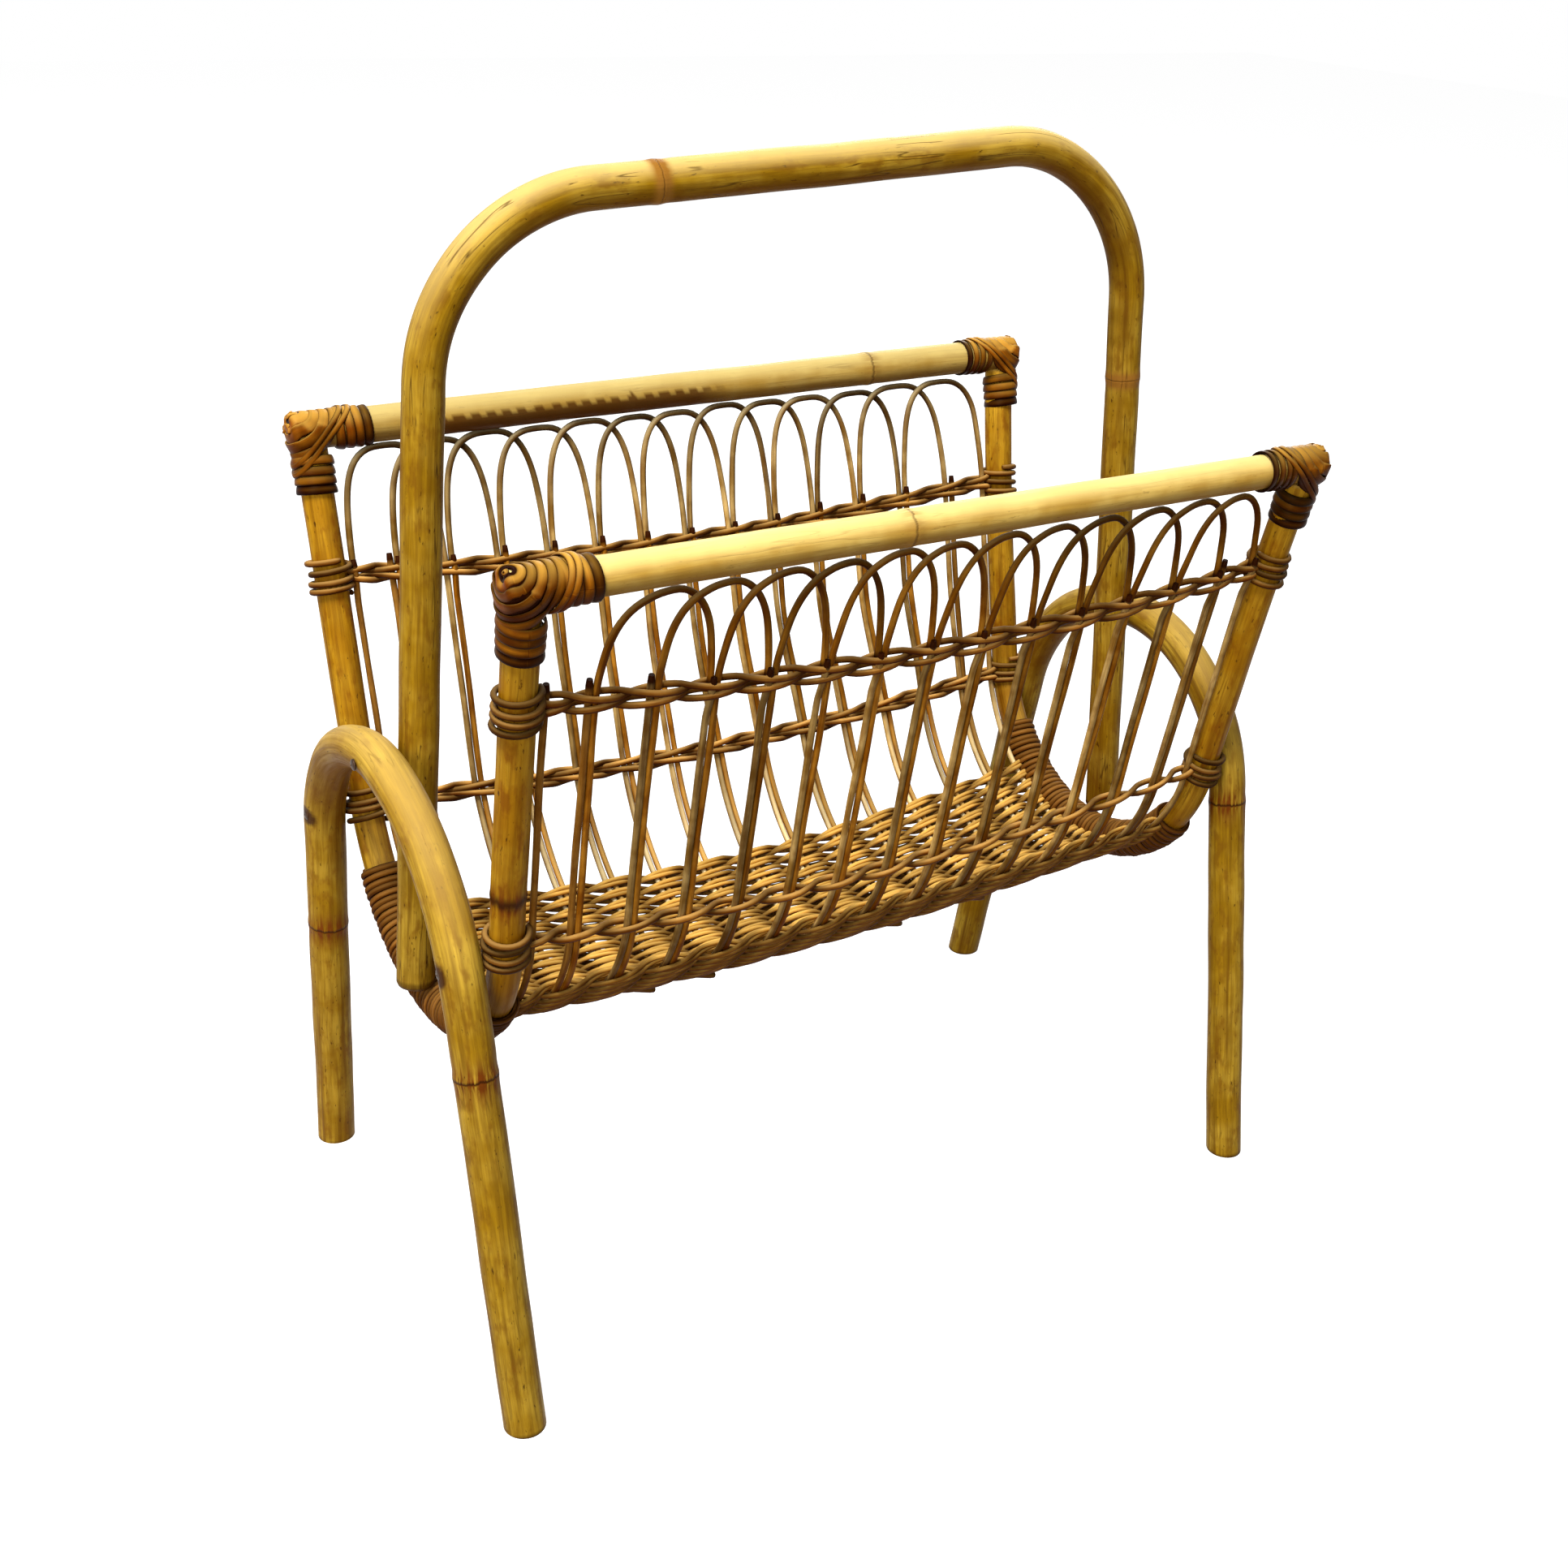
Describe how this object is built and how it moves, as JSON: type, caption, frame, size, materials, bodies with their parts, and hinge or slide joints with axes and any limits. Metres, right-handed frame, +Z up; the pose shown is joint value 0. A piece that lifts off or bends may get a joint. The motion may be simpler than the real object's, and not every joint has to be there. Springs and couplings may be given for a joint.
{
  "type": "rattan magazine rack",
  "caption": "Open rattan trough for magazines on splayed bent-pole legs, with looped cane walls, a woven floor and a tall arched carrying handle.",
  "frame": {"origin": "on the floor, midway between the four feet", "axes": "+X from the left end to the right end, +Y from the front wall to the back wall, +Z up"},
  "size_m": [0.4644, 0.2824, 0.5442],
  "materials": {
    "rattan_pole": "satin, golden olive tan with dark growth rings",
    "rattan_frame": "satin, golden tan",
    "rattan_rail": "satin, pale straw",
    "cane_dark": "satin, dark brown",
    "cane_light": "satin, light brown",
    "cane_plain": "satin, brown",
    "floor_weave": "semi-matt woven splint",
    "band_weave": "semi-matt twined cane",
    "peel": "glossy orange brown",
    "nail": "dull, darkened"
  },
  "bodies": {
    "root": {"carry_handle": "rattan_pole", "leg_arch_left": "rattan_pole", "end_frame_left": "rattan_frame", "leg_arch_right": "rattan_pole", "end_frame_right": "rattan_frame", "rail_front": "rattan_rail", "corner_cap_front_left": "peel", "corner_binding_front_left": "peel", "corner_nail_front_left": "nail", "corner_cap_front_right": "peel", "corner_binding_front_right": "peel", "corner_nail_front_right": "nail", "rail_back": "rattan_rail", "corner_cap_back_left": "peel", "corner_binding_back_left": "peel", "corner_nail_back_left": "nail", "corner_cap_back_right": "peel", "corner_binding_back_right": "peel", "corner_nail_back_right": "nail", "upper_band_front": "band_weave", "lower_band_front": "band_weave", "upper_band_back": "band_weave", "lower_band_back": "band_weave", "woven_floor": "floor_weave", "front_loop_cane_01": "cane_dark", "front_loop_cane_02": "cane_dark", "front_loop_cane_03": "cane_dark", "front_loop_cane_04": "cane_dark", "front_loop_cane_05": "cane_dark", "front_loop_cane_06": "cane_dark", "front_loop_cane_07": "cane_dark", "front_loop_cane_08": "cane_dark", "front_loop_cane_09": "cane_dark", "front_loop_cane_10": "cane_dark", "front_loop_cane_11": "cane_dark", "front_loop_cane_12": "cane_dark", "back_loop_cane_02": "cane_light", "back_loop_cane_03": "cane_light", "back_loop_cane_04": "cane_light", "back_loop_cane_05": "cane_light", "back_loop_cane_06": "cane_light", "back_loop_cane_07": "cane_light", "back_loop_cane_08": "cane_light", "back_loop_cane_09": "cane_light", "back_loop_cane_10": "cane_light", "back_loop_cane_11": "cane_light", "back_loop_cane_12": "cane_light", "back_loop_cane_13": "cane_light", "back_loop_cane_14": "cane_light", "plain_cane_00": "cane_plain", "plain_cane_01": "cane_plain", "plain_cane_13": "cane_plain", "arch_nail_front_left": "nail", "arch_nail_back_left": "nail", "handle_nail_left": "nail", "arch_nail_front_right": "nail", "arch_nail_back_right": "nail", "handle_nail_right": "nail"}
  },
  "joints": []
}
